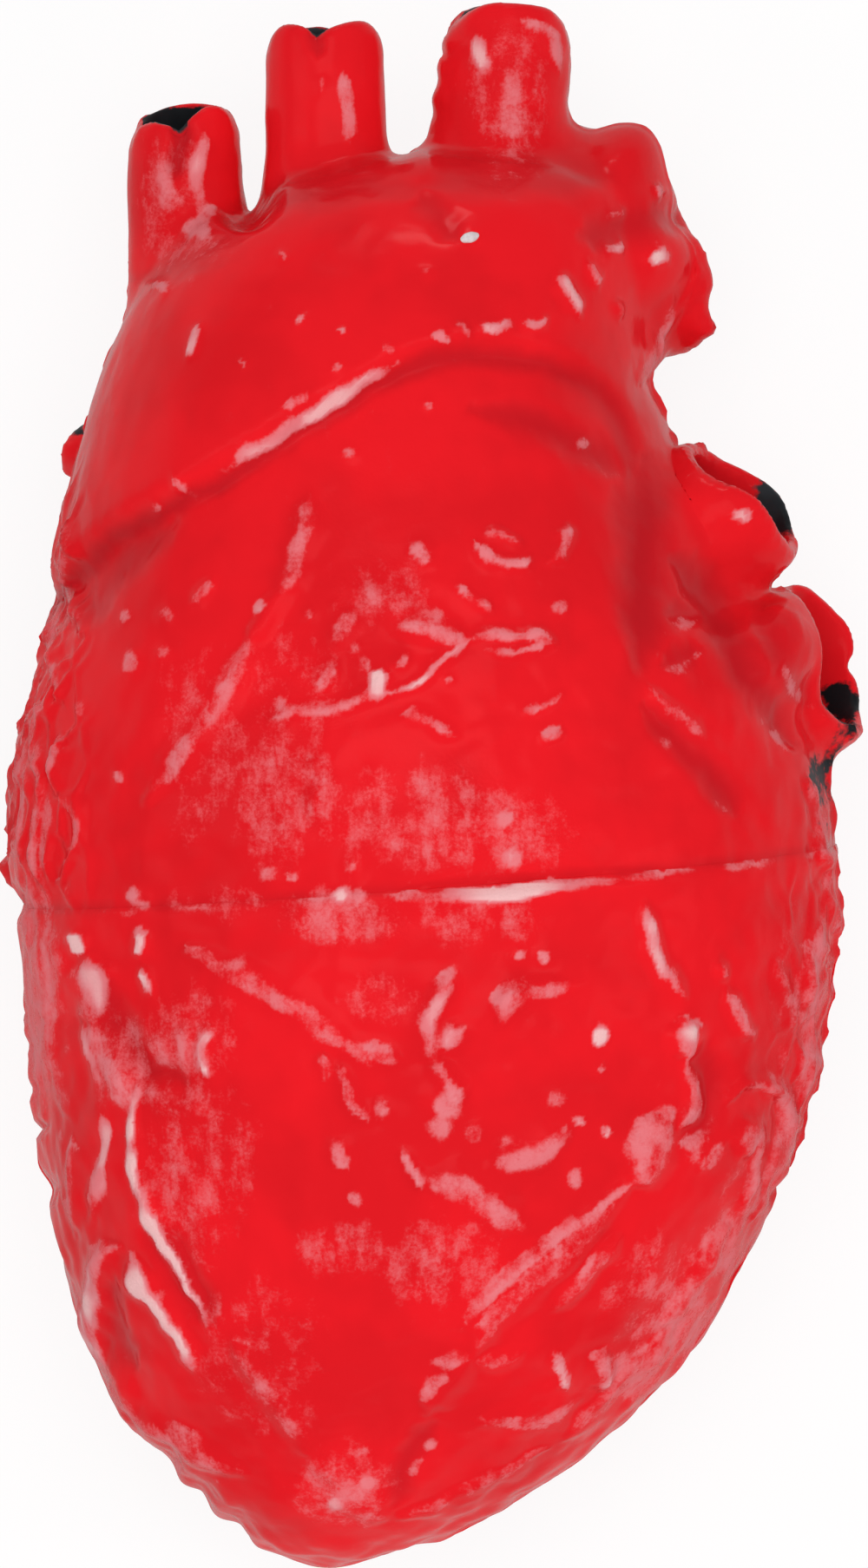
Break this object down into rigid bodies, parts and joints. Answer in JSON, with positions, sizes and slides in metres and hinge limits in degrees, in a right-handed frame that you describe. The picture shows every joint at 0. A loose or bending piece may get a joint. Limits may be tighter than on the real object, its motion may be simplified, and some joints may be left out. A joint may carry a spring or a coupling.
{
  "type": "human heart anatomy model",
  "caption": "Life-size hollow heart model in gloss red vinyl, with open vessel stubs and an apex section that pulls off along a slanted seam to show the ventricles and valves.",
  "frame": {"origin": "middle of the bounding box in plan, on the surface that the model's flattened back rests on", "axes": "+X towards the heart's own left side, +Y from the apex to the great vessels, +Z out of the front (anterior) face"},
  "size_m": [0.0988, 0.1811, 0.0724],
  "materials": {
    "sprayed_vinyl": "soft black vinyl sprayed with thick gloss red lacquer, black where the spray doesn't reach",
    "chamber_wall": "satin moulded vinyl, flesh red with a fibrous grain",
    "black_vinyl": "bare black vinyl with a soft sheen",
    "valve_ring": "satin",
    "valve_tissue": "ivory, slightly translucent-looking satin",
    "papillary_muscle": "satin with lengthwise fibres",
    "magnet": "nickel-plated disc, lightly brushed"
  },
  "bodies": {
    "upper_section": {"upper_front_shell": "sprayed_vinyl", "upper_back_shell": "sprayed_vinyl", "superior_vena_cava": "sprayed_vinyl", "brachiocephalic_trunk": "sprayed_vinyl", "left_carotid_artery": "sprayed_vinyl", "left_pulmonary_artery": "sprayed_vinyl", "left_superior_pulmonary_vein": "sprayed_vinyl", "left_inferior_pulmonary_vein": "sprayed_vinyl", "right_superior_pulmonary_vein": "sprayed_vinyl", "right_inferior_pulmonary_vein": "sprayed_vinyl", "inferior_vena_cava": "sprayed_vinyl", "upper_section_face": "chamber_wall", "left_ventricle_dome": "chamber_wall", "right_ventricle_dome": "chamber_wall", "mitral_valve_ring": "valve_ring", "mitral_anterior_leaflet": "valve_tissue", "mitral_posterior_leaflet": "valve_tissue", "tricuspid_valve_ring": "valve_ring", "tricuspid_anterior_leaflet": "valve_tissue", "tricuspid_posterior_leaflet": "valve_tissue", "tricuspid_septal_leaflet": "valve_tissue", "aortic_valve_ring": "valve_ring", "aortic_valve_cusps": "valve_tissue", "pulmonary_valve_ring": "valve_ring", "pulmonary_valve_cusps": "valve_tissue", "left_atrium": "chamber_wall", "right_atrium": "chamber_wall", "ascending_aorta": "black_vinyl", "pulmonary_trunk": "black_vinyl", "left_papillary_heads": "papillary_muscle", "right_papillary_heads": "papillary_muscle", "left_chordae_tendineae": "valve_tissue", "right_chordae_tendineae": "valve_tissue", "peg_sockets": "black_vinyl", "upper_magnets": "magnet"},
    "apex_section": {"lower_front_shell": "sprayed_vinyl", "lower_back_shell": "sprayed_vinyl", "lower_section_face": "chamber_wall", "left_ventricle_cup": "chamber_wall", "right_ventricle_cup": "chamber_wall", "left_papillary_muscles": "papillary_muscle", "right_papillary_muscles": "papillary_muscle", "locating_pegs": "black_vinyl", "lower_magnets": "magnet"}
  },
  "joints": [
    {"name": "apex_section_pull", "type": "slide", "parent": "upper_section", "child": "apex_section", "axis": [0.0748, -0.9972, 0], "range_m": [0, 0.08]}
  ]
}
